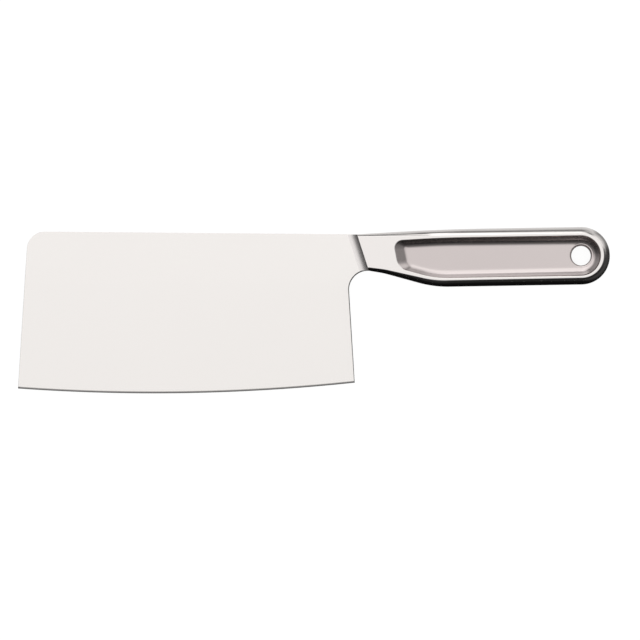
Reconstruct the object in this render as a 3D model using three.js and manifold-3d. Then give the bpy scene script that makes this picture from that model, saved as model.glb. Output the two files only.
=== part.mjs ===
// A kitchen cleaver made all of stainless steel. The ground blade runs into a tang, which two pressed
// half shells close round as a hollow handle. A weld joins the halves along the middle, and a weld on
// each side, ground to a hollow, joins them to the blade. A sleeve lines the hang hole.
// Millimetres. The knife lies on its side: +X runs to the butt, +Y to the spine and +Z up.
// Points are measured from the neck, where the spine meets the slanted front of the handle.
import * as THREE from "three";
import { mergeVertices } from "three/addons/utils/BufferGeometryUtils.js";
import Module from "manifold-3d";

// Blade outline
const SPINE_LENGTH = 164.5;
const SPINE_RISE = 1.4; // the spine's front end over the neck
const TIP_RADIUS = 9;
const FRONT_DEPTH = 78.5; // tip corner down to the toe
const FRONT_LEAN = 3.6; // degrees, the toe ahead of the tip
const HEEL_DEPTH = 74.2; // neck down to the heel corner
const HEEL_SETBACK = 4.6; // heel edge ahead of the neck, at the handle's underside
const HEEL_LEAN = 3.55; // degrees
const CHOIL_RADIUS = 10;
const EDGE_RADIUS = 950; // curve of the cutting edge

// Blade section
const BLADE_THICKNESS = 2;
const GRIND_START = 24; // below the neck, where the faces begin to taper
const SHOULDER_THICKNESS = 0.8; // at the top of the edge bevel
const BEVEL_WIDTH = 0.9;
const EDGE_LAND = 0.2; // thickness left at the very edge

// Tang
const TANG_ROOT_HEIGHT = 9;
const TANG_ROOT_DROP = 6.8; // below the grip's top line
const TANG_END_HEIGHT = 8;
const TANG_END_GAP = 4; // tang end to the hang sleeve
const TANG_END_RADIUS = 2;
const TANG_CLEARANCE = 0.3; // round the tang in the front wall's slot

// Handle outline, in a frame that rises with the grip's top line
const HANDLE_RISE = 0.95; // degrees
const HANDLE_LENGTH = 126.2;
const GRIP_HEIGHT = 28.8;
const CREST_RISE = 1.83; // the grip's top line over the neck
const CREST_AT = 41; // from the neck to the bend where the grip's top line starts
const CREST_RADIUS = 1550;
const NECK_HEIGHT = 18.2;
const BOLSTER_SLANT = 18; // degrees, front of the handle from upright
const THROAT_AT = 13.2; // from the neck to the bend where the underside starts to fall
const THROAT_DROP = 21.55; // below the grip's top line
const THROAT_RADIUS = 40;
const BELLY_AT = 38; // from the neck to the bend where the underside runs level
const BELLY_RADIUS = 55;

// Handle section
const NECK_THICKNESS = 9.2;
const BUTT_THICKNESS = 13.2;
const NECK_CROWN = 1.5; // how far the rounded side bulges past the flat rim
const GRIP_CROWN = 3.9;
const SHEET = 1.2;
const SEAM_WIDTH = 0.8;

// Recess
const RIM_WIDTH = 4.25; // handle's outline to the recess's lip
const RIM_END = 4.8; // the same at the butt
const RECESS_START = 17.9; // from the neck, along the grip
const RECESS_LEAN = 9.7; // degrees, front wall of the recess from square
const RECESS_FRONT_RADIUS = 2.6;
const RECESS_THROAT_RADIUS = 7;
const RECESS_DRAFT = 32; // degrees, the walls from upright
const RECESS_RAMP = 26; // degrees, the front wall from level
const RECESS_FILLET = 4.5; // walls to floor

// Hang hole
const HANG_HOLE_DIAMETER = 9.8;
const SLEEVE_WALL = 1.2;

// Bolster weld
const BOLSTER_RUN = 4.5; // how far the ground hollow runs out over the blade

// Facets
const CORNER_STEPS = 10;
const CROWN_STEPS = 8;
const FILLET_STEPS = 6;
const EDGE_STEPS = 48;
const ROUND_STEPS = 24;
const LEAST_RADIUS = 1;
const WHOLE_EDGE = 0.99; // share of an edge that its corners' roundings may take up
const OVERRUN = 6; // how far a cutting or cut solid runs past what it meets

const wasm = await Module();
wasm.setup();

// Solids and meshes
function solid(geometry) {
  const bare = geometry.clone();
  bare.deleteAttribute("normal");
  bare.deleteAttribute("uv");
  const merged = mergeVertices(bare, 1e-5);
  return new wasm.Manifold(
    new wasm.Mesh({
      numProp: 3,
      vertProperties: new Float32Array(merged.attributes.position.array),
      triVerts: new Uint32Array(merged.index.array),
    }),
  );
}

function geometryOf(body) {
  const { vertProperties, triVerts } = body.getMesh();
  const geometry = new THREE.BufferGeometry();
  geometry.setAttribute("position", new THREE.BufferAttribute(vertProperties, 3));
  geometry.setIndex(new THREE.BufferAttribute(triVerts, 1));
  geometry.computeVertexNormals();
  return geometry;
}

const flatXY = (p) => new THREE.Vector2(p.x, p.y);
const flatYZ = (p) => new THREE.Vector2(p.y, p.z);
const flatXZ = (p) => new THREE.Vector2(-p.x, p.z);

// A closed skin over rings of equal count, with flat ends. A ring runs counterclockwise when it is
// looked at against the direction in which the rings follow each other.
function loft(rings, flat = flatXY) {
  const count = rings[0].length;
  const index = [];
  for (let ring = 0; ring < rings.length - 1; ring++) {
    for (let i = 0; i < count; i++) {
      const a = ring * count + i;
      const b = ring * count + ((i + 1) % count);
      index.push(a, b, b + count, a, b + count, a + count);
    }
  }
  const last = (rings.length - 1) * count;
  for (const [a, b, c] of THREE.ShapeUtils.triangulateShape(rings[0].map(flat), [])) {
    index.push(c, b, a);
  }
  for (const [a, b, c] of THREE.ShapeUtils.triangulateShape(rings.at(-1).map(flat), [])) {
    index.push(last + a, last + b, last + c);
  }
  const geometry = new THREE.BufferGeometry().setFromPoints(rings.flat());
  geometry.setIndex(index);
  return solid(geometry);
}

function prism(outline, low, high) {
  const shape = new THREE.Shape(outline);
  const geometry = new THREE.ExtrudeGeometry(shape, { depth: high - low, bevelEnabled: false });
  return solid(geometry.translate(0, 0, low));
}

// Outlines: counterclockwise corners, each with the radius that rounds it. The edge from a corner to the
// next one can be the foot of a ramp.
const radians = THREE.MathUtils.degToRad;
const corner = (at, radius, ramp = false) => ({ at, radius, ramp });

function crossing(a, alongA, b, alongB) {
  const t = b.clone().sub(a).cross(alongB) / alongA.cross(alongB);
  return a.clone().addScaledVector(alongA, t);
}

// The corners moved inwards, each edge by the distance that the function gives for its ends
function inset(corners, distance) {
  const edges = corners.map(({ at, ramp }, i) => {
    const next = corners[(i + 1) % corners.length].at;
    const along = next.clone().sub(at).normalize();
    const inward = new THREE.Vector2(-along.y, along.x);
    const start = at.clone().addScaledVector(inward, distance(at, ramp));
    const end = next.clone().addScaledVector(inward, distance(next, ramp));
    return { start, along: end.sub(start).normalize() };
  });
  return corners.map(({ at, radius, ramp }, i) => {
    const before = edges[(i + edges.length - 1) % edges.length];
    const after = edges[i];
    const bulge = Math.sign(before.along.cross(after.along)); // 1 where the outline bulges out
    const moved = crossing(before.start, before.along, after.start, after.along);
    return corner(moved, Math.max(radius - bulge * distance(at, false), LEAST_RADIUS), ramp);
  });
}

// The outline's points, with each corner's radius limited by the edges that it shares
function rounded(corners) {
  return corners.flatMap(({ at, radius }, i) => {
    if (radius === 0) return [at];
    const last = corners[(i + corners.length - 1) % corners.length];
    const next = corners[(i + 1) % corners.length];
    const before = last.at.clone().sub(at);
    const after = next.at.clone().sub(at);
    const half = before.angleTo(after) / 2;
    const share = ({ radius: other }) => (other === 0 ? WHOLE_EDGE : WHOLE_EDGE / 2);
    const room = Math.min(before.length() * share(last), after.length() * share(next));
    const reach = Math.min(radius / Math.tan(half), room);
    const bend = reach * Math.tan(half);
    before.normalize();
    after.normalize();
    const middle = before.clone().add(after).normalize();
    const centre = at.clone().addScaledVector(middle, bend / Math.sin(half));
    const from = at.clone().addScaledVector(before, reach).sub(centre);
    const turn = Math.sign(before.cross(after)) * (2 * half - Math.PI);
    return Array.from({ length: CORNER_STEPS + 1 }, (_, step) =>
      from
        .clone()
        .rotateAround(new THREE.Vector2(), (turn * step) / CORNER_STEPS)
        .add(centre),
    );
  });
}

// Places on the knife
const neck = new THREE.Vector2(0, 0);
const gripX = new THREE.Vector2(1, 0).rotateAround(neck, radians(HANDLE_RISE));
const gripDown = new THREE.Vector2(gripX.y, -gripX.x);
const grip = (along, below) =>
  neck.clone().addScaledVector(gripX, along).addScaledVector(gripDown, below - CREST_RISE);

const slant = new THREE.Vector2(Math.sin(radians(BOLSTER_SLANT)), -Math.cos(radians(BOLSTER_SLANT)));
const slantBack = new THREE.Vector2(-slant.y, slant.x); // square to the slant, towards the butt
const neckBottom = neck.clone().addScaledVector(slant, NECK_HEIGHT / Math.cos(radians(BOLSTER_SLANT)));
const tip = new THREE.Vector2(-SPINE_LENGTH, SPINE_RISE);
const front = new THREE.Vector2(-Math.sin(radians(FRONT_LEAN)), -Math.cos(radians(FRONT_LEAN)));
const toe = tip.clone().addScaledVector(front, FRONT_DEPTH / -front.y);
const heelLine = new THREE.Vector2(Math.sin(radians(HEEL_LEAN)), -Math.cos(radians(HEEL_LEAN)));
const choil = new THREE.Vector2(-HEEL_SETBACK, neckBottom.y);
const heel = choil.clone().addScaledVector(heelLine, (HEEL_DEPTH + choil.y) / -heelLine.y);
const hangHole = grip(HANDLE_LENGTH - GRIP_HEIGHT / 2, GRIP_HEIGHT / 2);

// Thickness grows evenly from the neck to the hang hole, so each rim is one plane. The rounding of the sides
// grows from the neck to the crest.
const grown = (x, reach, from, to) => from + ((to - from) * x) / reach;
const rimHeight = (x) => grown(x, hangHole.x, NECK_THICKNESS, BUTT_THICKNESS) / 2;
const crown = (x) => grown(Math.min(x, CREST_AT), CREST_AT, NECK_CROWN, GRIP_CROWN);
const bladeHalf = BLADE_THICKNESS / 2;
const floorHeight = bladeHalf + SHEET;
const holeRadius = HANG_HOLE_DIAMETER / 2;

// The prism that keeps what lies behind the handle's slanted front, or behind a line set back from it
function behindFront(setback, high) {
  const start = neck.clone().addScaledVector(slantBack, setback);
  const reach = 2 * HANDLE_LENGTH;
  const outline = [
    start.clone().addScaledVector(slant, -reach),
    start.clone().addScaledVector(slant, reach),
    start.clone().addScaledVector(slant, reach).addScaledVector(slantBack, reach),
    start.clone().addScaledVector(slant, -reach).addScaledVector(slantBack, reach),
  ];
  return prism(outline, -high, high);
}

// The handle's outline, carried on ahead of the slanted front to take in the bolster welds
function handleCorners() {
  const ahead = BOLSTER_RUN + OVERRUN;
  const butt = GRIP_HEIGHT / 2;
  const crest = grip(CREST_AT, 0);
  const fromCrest = neck.clone().sub(crest).normalize();
  return [
    corner(grip(HANDLE_LENGTH, 0), butt),
    corner(crest, CREST_RADIUS),
    corner(neck.clone().addScaledVector(fromCrest, ahead), 0),
    corner(neckBottom.clone().sub(new THREE.Vector2(ahead, 0)), 0),
    corner(neckBottom, CHOIL_RADIUS),
    corner(grip(THROAT_AT, THROAT_DROP), THROAT_RADIUS),
    corner(grip(BELLY_AT, GRIP_HEIGHT), BELLY_RADIUS),
    corner(grip(HANDLE_LENGTH, GRIP_HEIGHT), butt),
  ];
}

// One half of the handle as a full solid from the height low, drawn in by a wall. Its side is a quarter of
// an ellipse, upright at the seam and level at the rim.
function halfHandle(low, wall) {
  const corners = handleCorners();
  const rings = [];
  for (let step = 0; step <= CROWN_STEPS; step++) {
    const bend = (Math.PI / 2) * (step / CROWN_STEPS);
    const loop = rounded(inset(corners, ({ x }) => crown(x) * (1 - Math.cos(bend)) + wall));
    const height = (x) => low + (rimHeight(x) - wall - low) * Math.sin(bend);
    rings.push(loop.map(({ x, y }) => new THREE.Vector3(x, y, height(x))));
  }
  return loft(rings);
}

// The recess's lip: the handle's outline drawn in by the rim, closed by a leaning front
function recessCorners() {
  const [, crest, ahead, , , throat, belly] = inset(handleCorners(), () => RIM_WIDTH);
  const front = grip(RECESS_START, CREST_RISE + RIM_WIDTH);
  const frontWall = gripDown.clone().rotateAround(neck, radians(RECESS_LEAN));
  const toAhead = ahead.at.clone().sub(crest.at);
  const toBelly = belly.at.clone().sub(throat.at);
  const end = HANDLE_LENGTH - RIM_END;
  const endRadius = GRIP_HEIGHT / 2 - RIM_WIDTH;
  return [
    corner(grip(end, RIM_WIDTH), endRadius),
    crest,
    corner(crossing(crest.at, toAhead, front, frontWall), RECESS_FRONT_RADIUS, true),
    corner(crossing(throat.at, toBelly, front, frontWall), RECESS_THROAT_RADIUS),
    belly,
    corner(grip(end, GRIP_HEIGHT - RIM_WIDTH), endRadius),
  ];
}

// The recess as a full solid, grown by a wall. Its walls are drafted, the front one is a ramp, and all of
// them are rounded into the floor.
function recess(wall) {
  const corners = recessCorners();
  const slope = Math.tan(radians(RECESS_DRAFT));
  const rampSlope = 1 / Math.tan(radians(RECESS_RAMP));
  const turn = radians(90 - RECESS_DRAFT);
  const rampTurn = radians(RECESS_RAMP);
  const depth = (x) => rimHeight(x) - floorHeight;
  const fillet = Math.min(RECESS_FILLET, (0.9 * depth(RECESS_START)) / (1 - Math.cos(turn)));
  const run = (x, height, upTo, steepness) => {
    const top = fillet * (1 - Math.cos(upTo));
    const bend = Math.acos(1 - Math.min(height, top) / fillet);
    const foot = fillet * (Math.sin(upTo) - Math.sin(bend));
    return foot + (depth(x) - Math.max(height, top)) * steepness;
  };
  const rings = [];
  for (let step = 0; step <= FILLET_STEPS; step++) {
    const height = fillet * (1 - Math.cos((turn * step) / FILLET_STEPS));
    const loop = inset(corners, ({ x }, ramp) =>
      ramp ? run(x, height, rampTurn, rampSlope) - wall : run(x, height, turn, slope) - wall,
    );
    rings.push(
      rounded(loop).map(({ x, y }) => new THREE.Vector3(x, y, floorHeight - wall + height)),
    );
  }
  const mouth = inset(corners, (_, ramp) => -OVERRUN * (ramp ? rampSlope : slope) - wall);
  rings.push(
    rounded(mouth).map(({ x, y }) => new THREE.Vector3(x, y, rimHeight(x) - wall + OVERRUN)),
  );
  return loft(rings);
}

// Blade: a ground section carried along the curved edge, cut to the blade's outline, with the tang
const bladeCorners = () => [
  corner(neck, 0),
  corner(tip, TIP_RADIUS),
  corner(toe.clone().addScaledVector(front, OVERRUN), 0),
  corner(heel.clone().addScaledVector(heelLine, OVERRUN), 0),
  corner(choil, CHOIL_RADIUS),
  corner(neckBottom, 0),
];

function groundSection() {
  const chord = heel.clone().sub(toe);
  const rise = Math.sqrt(EDGE_RADIUS ** 2 - (chord.length() / 2) ** 2);
  const up = new THREE.Vector2(-chord.y, chord.x).normalize();
  const centre = toe.clone().addScaledVector(chord, 0.5).addScaledVector(up, rise);
  const first = toe.x - OVERRUN;
  const last = neckBottom.x + OVERRUN;
  const top = tip.y + OVERRUN;
  const rings = [];
  for (let step = 0; step <= EDGE_STEPS; step++) {
    const x = first + ((last - first) * step) / EDGE_STEPS;
    const edge = centre.y - Math.sqrt(EDGE_RADIUS ** 2 - (x - centre.x) ** 2);
    const half = [
      [edge, EDGE_LAND / 2],
      [edge + BEVEL_WIDTH, SHOULDER_THICKNESS / 2],
      [-GRIND_START, bladeHalf],
      [top, bladeHalf],
    ];
    const lower = half.map(([y, z]) => new THREE.Vector3(x, y, -z));
    const upper = half.map(([y, z]) => new THREE.Vector3(x, y, z));
    rings.push([...lower, ...upper.reverse()]);
  }
  return loft(rings, flatYZ);
}

// The tang's outline, grown by a clearance, from ahead of the handle's front to near the hang sleeve
function tangOutline(clearance) {
  const end = HANDLE_LENGTH - GRIP_HEIGHT / 2 - holeRadius - SLEEVE_WALL - TANG_END_GAP;
  const endTop = (GRIP_HEIGHT - TANG_END_HEIGHT) / 2;
  const rootBottom = TANG_ROOT_DROP + TANG_ROOT_HEIGHT;
  return rounded(
    inset(
      [
        corner(grip(end, endTop), TANG_END_RADIUS),
        corner(grip(0, TANG_ROOT_DROP), 0),
        corner(grip(0, rootBottom), 0),
        corner(grip(end, endTop + TANG_END_HEIGHT), TANG_END_RADIUS),
      ],
      () => -clearance,
    ),
  );
}

function blade() {
  const outline = prism(rounded(bladeCorners()), -BLADE_THICKNESS, BLADE_THICKNESS);
  const tang = prism(tangOutline(0), -bladeHalf, bladeHalf);
  return groundSection().intersect(outline).add(tang);
}

// Handle: each half shell is the rounded half with the recess pressed in, hollow behind
function handleShell() {
  const seam = SEAM_WIDTH / 2;
  const outside = halfHandle(seam, 0).intersect(behindFront(0, BUTT_THICKNESS)).subtract(recess(0));
  const hollow = halfHandle(0, SHEET)
    .intersect(behindFront(SHEET, BUTT_THICKNESS))
    .subtract(recess(SHEET));
  const hole = prism(ringOutline(holeRadius), -BUTT_THICKNESS, BUTT_THICKNESS);
  const frontWall = behindFront(-SHEET, BUTT_THICKNESS).subtract(behindFront(2 * SHEET, BUTT_THICKNESS));
  const slot = prism(tangOutline(TANG_CLEARANCE), -bladeHalf, bladeHalf + TANG_CLEARANCE);
  return outside.subtract(hollow).subtract(hole).subtract(slot.intersect(frontWall));
}

// Seam weld: a strip between the halves' edges, from the neck round the butt to the throat
function seamWeld() {
  const seam = SEAM_WIDTH / 2;
  const corners = handleCorners();
  const outside = prism(rounded(inset(corners, () => 0)), -seam, seam);
  const inside = prism(rounded(inset(corners, () => SHEET)), -BUTT_THICKNESS, BUTT_THICKNESS);
  return outside.intersect(behindFront(0, BUTT_THICKNESS)).subtract(inside);
}

// Hang sleeve
function ringOutline(radius) {
  const shape = new THREE.Shape().absarc(hangHole.x, hangHole.y, radius, 0, 2 * Math.PI);
  return shape.getPoints(ROUND_STEPS).slice(0, -1);
}

function hangSleeve() {
  const outside = prism(ringOutline(holeRadius + SLEEVE_WALL), -bladeHalf, bladeHalf);
  return outside.subtract(prism(ringOutline(holeRadius), -BLADE_THICKNESS, BLADE_THICKNESS));
}

// Bolster weld: a hollow-ground bead along the handle's front, from its rim down to the blade's face
function bolsterWeld() {
  const rings = [];
  for (const along of [NECK_HEIGHT + 2 * OVERRUN, -OVERRUN]) {
    const foot = neck.clone().addScaledVector(slant, along);
    const rise = rimHeight(foot.x) - bladeHalf;
    const radius = (BOLSTER_RUN ** 2 + rise ** 2) / (2 * rise);
    const sweep = Math.asin(Math.min(BOLSTER_RUN / radius, 1));
    const place = (run, height) => {
      const { x, y } = foot.clone().addScaledVector(slantBack, -run);
      return new THREE.Vector3(x, y, bladeHalf + height);
    };
    const ring = [place(0, 0)];
    for (let step = 0; step <= FILLET_STEPS; step++) {
      const angle = (sweep * step) / FILLET_STEPS;
      ring.push(place(BOLSTER_RUN - radius * Math.sin(angle), radius * (1 - Math.cos(angle))));
    }
    rings.push(ring);
  }
  return loft(rings, flatXZ).intersect(halfHandle(0, 0));
}

// Assembly
const steel = (color, roughness) => new THREE.MeshStandardMaterial({ color, roughness, metalness: 1 });

function piece(name, geometry, material, side = 1) {
  const mesh = new THREE.Mesh(geometry, material);
  mesh.name = name;
  mesh.scale.z = side;
  return mesh;
}

const shellGeometry = geometryOf(handleShell());
const bolsterGeometry = geometryOf(bolsterWeld());

const handle = new THREE.Group();
handle.add(
  piece("handle_shell_left", shellGeometry, steel(0xcec5c3, 0.42)),
  piece("handle_shell_right", shellGeometry, steel(0xcec5c3, 0.42), -1),
  piece("seam_weld", geometryOf(seamWeld()), steel(0xc9c4c2, 0.35)),
  piece("hang_sleeve", geometryOf(hangSleeve()), steel(0xb9b2b0, 0.4)),
);

const cleaver = new THREE.Group();
cleaver.add(
  piece("blade", geometryOf(blade()), steel(0xeeeae7, 0.28)),
  handle,
  piece("bolster_weld_left", bolsterGeometry, steel(0xd8d2cf, 0.3)),
  piece("bolster_weld_right", bolsterGeometry, steel(0xd8d2cf, 0.3), -1),
);

// The origin is the middle of the box that the knife fills, at the height of the table it lies on
const box = new THREE.Box3().setFromObject(cleaver);
const middle = box.getCenter(new THREE.Vector3());
cleaver.position.set(-middle.x, -middle.y, -box.min.z);

const part = new THREE.Group();
part.add(cleaver);

export default part;
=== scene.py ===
"""An all-steel kitchen cleaver, dressed on the frame of its solids.

The ground blade, the two pressed halves of the handle, the welds that join them and the sleeve of
the hang hole are each built as a fine mesh in place of their solid, and finished in brushed,
bead-blasted and polished stainless steel. Metres: +X runs to the butt, +Y to the spine and +Z up,
out of the blade's left face.
"""

import math
from typing import NamedTuple

import bmesh
import bpy
from bpy.props import FloatProperty, FloatVectorProperty, PointerProperty
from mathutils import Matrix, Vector
from mathutils.geometry import tessellate_polygon


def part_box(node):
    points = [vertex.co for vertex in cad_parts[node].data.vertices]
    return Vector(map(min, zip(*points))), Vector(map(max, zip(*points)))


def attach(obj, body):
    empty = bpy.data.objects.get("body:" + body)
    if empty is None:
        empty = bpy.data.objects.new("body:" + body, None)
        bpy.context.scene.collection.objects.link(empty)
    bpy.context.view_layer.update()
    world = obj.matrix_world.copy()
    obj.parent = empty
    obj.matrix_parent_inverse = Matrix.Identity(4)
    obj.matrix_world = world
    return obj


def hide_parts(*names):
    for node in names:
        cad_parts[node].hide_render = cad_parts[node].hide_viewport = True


bl_info = {
    "name": "Steel cleaver",
    "version": (1, 0, 0),
    "blender": (4, 5, 0),
    "location": "View3D > Sidebar > Cleaver",
    "description": "Dresses an all-steel kitchen cleaver on the frame of its solids",
    "category": "Object",
}

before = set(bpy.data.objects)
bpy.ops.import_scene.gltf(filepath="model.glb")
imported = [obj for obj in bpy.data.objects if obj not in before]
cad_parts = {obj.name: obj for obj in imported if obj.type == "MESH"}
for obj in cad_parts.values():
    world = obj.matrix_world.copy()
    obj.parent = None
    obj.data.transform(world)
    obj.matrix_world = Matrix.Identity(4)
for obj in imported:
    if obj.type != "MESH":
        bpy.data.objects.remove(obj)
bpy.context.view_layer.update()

MM = 0.001

# Facets
ARC_STEPS = 28
SIDE_STEPS = 12
ROUND_STEPS = 5
FILLET_STEPS = 14
RUN_STEPS = 60
HOLE_STEPS = 96
EDGE_STATIONS = 120
BOLSTER_STATIONS = 24
BREAK_SEGMENTS = 3
TENT_SUBDIVISIONS = 5
# Rows of the grind, as shares of the way down to the edge bevel, closer where the taper begins
TAPER_ROWS = (0, 0.012, 0.025, 0.037, 0.05, 0.062, 0.074)
GRIND_ROWS = (*TAPER_ROWS, 0.1, 0.2, 0.35, 0.5, 0.65, 0.8, 0.92, 0.996, 1)

# Tolerances
LEAST_RADIUS = 1 * MM
LEAST_TRIANGLE = 1e-14  # twice the area, in square metres, of the smallest triangle that is kept
EDGE_SHARE = 0.495  # the most of an edge that the rounding at one end may take
BREAK_SHARE = 0.9  # the most of the blade's half thickness that its edge break may take
SETTLING_ROUNDS = 8  # to find where a row of the grind meets the blade's front or back
HOLD = 0.08 * MM  # width of the strip that keeps a flat face flat beside a rounded edge
WELD = 0.0005 * MM  # points closer than this are one
SHARP = math.radians(40)  # an edge that turns further than this stays sharp
SHARP_PRESSED = math.radians(25)  # the same on the halves of the handle

# A piece's finishes: satin first, then the bevel's polish or the recess's blasting
SATIN, POLISHED, BLASTED = 0, 1, 1

# Marks and clouds of the steel
MARK_DETAIL, CLOUD_DETAIL = 3, 2
CLOUDS_PER_METRE = 26
NOISE_MEAN, MIDDLE_TONE = 0.5, 0.5
MARK_TONE, CLOUD_TONE = 0.8, 0.6  # how far they shift the colour
MARK_MATT, CLOUD_MATT = 0.5, 0.25  # how far they shift the roughness, as shares of it
BUMP_STRENGTH = 0.5

# Studio: sizes in metres
FLOOR_REACH, FLOOR_DROP = 12, 0.6 * MM
FLOOR_SHADE, FLOOR_GLOW = 0.12, 0.92  # of the floor as it is seen: what takes shadow, and the rest
# the card that only reflections see, which paints dark and pale reflections on the steel
CARD_REACH, CARD_DROP = 2, 0.3 * MM
SOFTBOX_BACK = 0.1  # the soft box's place behind the middle of the knife
CAMERA_RANGE = 100

# The light tent: levels, degrees that a light is turned towards the butt, and edges, the cosines of
# the angles from a light's middle where it starts and is full. The strip's foot is from overhead.
TENT_LEVEL = 0.02
KEY_TURN, KEY_EDGE, KEY_LEVEL, KEY_SPREAD = -8, (0.52, 0.9), 0.79, 0.3
STRIP_EDGE, STRIP_FOOT, STRIP_LEVEL = (0.9, 0.99), (0.05, 0.2), 0.9
CORNER_TURN, CORNER_EDGE = 52, (0.9, 0.98)
# Smaller lights: degrees from overhead towards the spine, turn, edge, level
TENT_LIGHTS = (
    (60, -60, (0.75, 1), 0.25),  # towards the tip
    (55, 90, (0.8, 1), 0.1),  # towards the butt
    (46, 0, (0.88, 1), 0.4),  # behind the spine
)

# The card under the knife that only reflections see, which paints the dark and pale reflections on
# the handle: levels, and places behind and beyond the middle of the hang hole between which each
# comes in or falls off
CARD_DARK_LEVEL = 0.004
PALE_EDGE = (-8 * MM, 8 * MM)
PALE_SLANT, PALE_LEVEL = 1.7, 0.57
GREY_SLANT, GREY_LEVEL = 0.4, 0.28
FAR_EDGE, FAR_FALL = (5 * MM, 90 * MM), 0.82
BEYOND_EDGE, BEYOND_LEVEL = (5 * MM, 40 * MM), 0.05
FAR_CORNER_EDGE, FAR_CORNER_LEVEL = (8 * MM, 45 * MM), 0.5


# Properties
def number(name, description, default, **kind):
    return FloatProperty(name=name, description=description, default=default, **kind)


def length(name, description, millimetres):
    kind = {"min": 0, "precision": 5, "subtype": "DISTANCE", "unit": "LENGTH"}
    return number(name, description, millimetres * MM, **kind)


def angle(name, description, degrees):
    return number(name, description, math.radians(degrees), subtype="ANGLE", unit="ROTATION")


def factor(name, description, value):
    return number(name, description, value, min=0, max=1, subtype="FACTOR")


def colour(name, description, *parts):
    kind = {"min": 0, "max": 1, "subtype": "COLOR"}
    return FloatVectorProperty(name=name, description=description, default=parts, **kind)


class CleaverBlade(bpy.types.PropertyGroup):
    """Sizes of the blade and its tang"""

    spine: length("Spine", "Neck to the tip corner, along the knife", 164.5)
    spine_rise: length("Spine rise", "How far the spine's front end lies above the neck", 1.4)
    tip_radius: length("Tip radius", "Rounding of the tip corner", 9)
    front_depth: length("Front depth", "Tip corner down to the toe", 78.5)
    front_lean: angle("Front lean", "How far the front edge leans, the toe ahead of the tip", 3.6)
    heel_depth: length("Heel depth", "Neck down to the heel corner", 74.2)
    heel_setback: length("Heel setback", "Heel edge ahead of the neck, at the underside", 4.6)
    heel_lean: angle("Heel lean", "How far the heel edge leans back", 3.55)
    choil_radius: length("Choil radius", "Hollow between the heel edge and the handle", 10)
    edge_radius: length("Edge radius", "Curve of the cutting edge", 950)
    thickness: length("Thickness", "Blade at the spine", 2)
    grind_start: length("Grind start", "Below the neck, where the faces begin to taper", 24)
    shoulder: length("Shoulder", "Thickness at the top of the edge bevel", 0.8)
    bevel: length("Bevel", "Width of the edge bevel", 0.9)
    land: length("Land", "Thickness left at the very edge", 0.2)
    edge_break: length("Edge break", "Rounding of the blade's spine and front", 0.12)
    heel_break: length("Heel break", "Rounding of the heel edge and the choil, for fingers", 0.7)
    tang_root: length("Tang root", "Height of the tang at the blade", 9)
    tang_drop: length("Tang drop", "Tang below the grip's top line, at the blade", 6.8)
    tang_end: length("Tang end", "Height of the tang at its end", 8)
    tang_gap: length("Tang gap", "Tang end to the hang sleeve", 4)


class CleaverHandle(bpy.types.PropertyGroup):
    """Sizes of the handle, its recess and its hang hole"""

    rise: angle("Rise", "How far the grip rises towards the butt", 0.95)
    reach: length("Reach", "Neck to the butt, along the grip", 126.2)
    height: length("Height", "Grip from top to underside", 28.8)
    crest_rise: length("Crest rise", "The grip's top line over the neck", 1.83)
    crest: length("Crest", "Neck to the bend where the grip's top line starts", 41)
    crest_radius: length("Crest radius", "Rounding of that bend", 1550)
    neck_height: length("Neck height", "Handle at its slanted front", 18.2)
    slant: angle("Slant", "Front of the handle from upright", 18)
    throat: length("Throat", "Neck to the bend where the underside starts to fall", 13.2)
    throat_drop: length("Throat drop", "That bend below the grip's top line", 21.55)
    throat_radius: length("Throat radius", "Rounding of that bend", 40)
    belly: length("Belly", "Neck to the bend where the underside runs level", 38)
    belly_radius: length("Belly radius", "Rounding of that bend", 55)
    neck_thickness: length("Neck thickness", "Over both rims, at the neck", 9.2)
    butt_thickness: length("Butt thickness", "Over both rims, at the hang hole", 13.2)
    neck_crown: length("Neck crown", "Bulge of the rounded side past the rim, at the neck", 1.1)
    grip_crown: length("Grip crown", "The same from the crest to the butt", 3.25)
    sheet: length("Sheet", "Thickness of the pressed sheet", 1.2)
    seam: length("Seam", "Width of the weld between the halves", 0.8)
    rim: length("Rim", "Handle's outline to the lip of the recess", 4.25)
    rim_top: length("Rim top", "The same along the top line", 4.5)
    rim_end: length("Rim end", "The same at the butt", 4.8)
    rim_round: length("Rim round", "Rounding from the rim to the side", 0.5)
    recess_start: length("Recess start", "Neck to the recess, along the grip", 17.9)
    recess_lean: angle("Recess lean", "Front wall of the recess from square", 9.7)
    recess_front: length("Recess front", "Rounding of the recess's upper front corner", 4)
    recess_throat: length("Recess throat", "Rounding of the recess's lower front corner", 7)
    recess_draft: angle("Recess draft", "Upper walls of the recess from upright", 14)
    recess_ramp: angle("Recess ramp", "Front wall of the recess from level", 26.5)
    recess_foot: length("Recess foot", "Height over the floor where a slope ends the walls", 2.35)
    recess_slope: angle("Recess slope", "That slope from level", 40)
    recess_fillet: length("Recess fillet", "Hollow rounding between the slope and the floor", 4.5)
    lip_round: length("Lip round", "Rounding of the recess's lip", 0.4)
    hang_hole: length("Hang hole", "Diameter of the hang hole", 9.8)
    hole_round: length("Hole round", "Rounding of the hang hole's rim", 1)
    sleeve_wall: length("Sleeve wall", "Wall of the hang hole's sleeve", 1.2)
    bolster_run: length("Bolster run", "How far the ground hollow runs out over the blade", 4.5)
    bolster_rise: length("Bolster rise", "How high the hollow climbs the front of the handle", 1.75)


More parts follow.
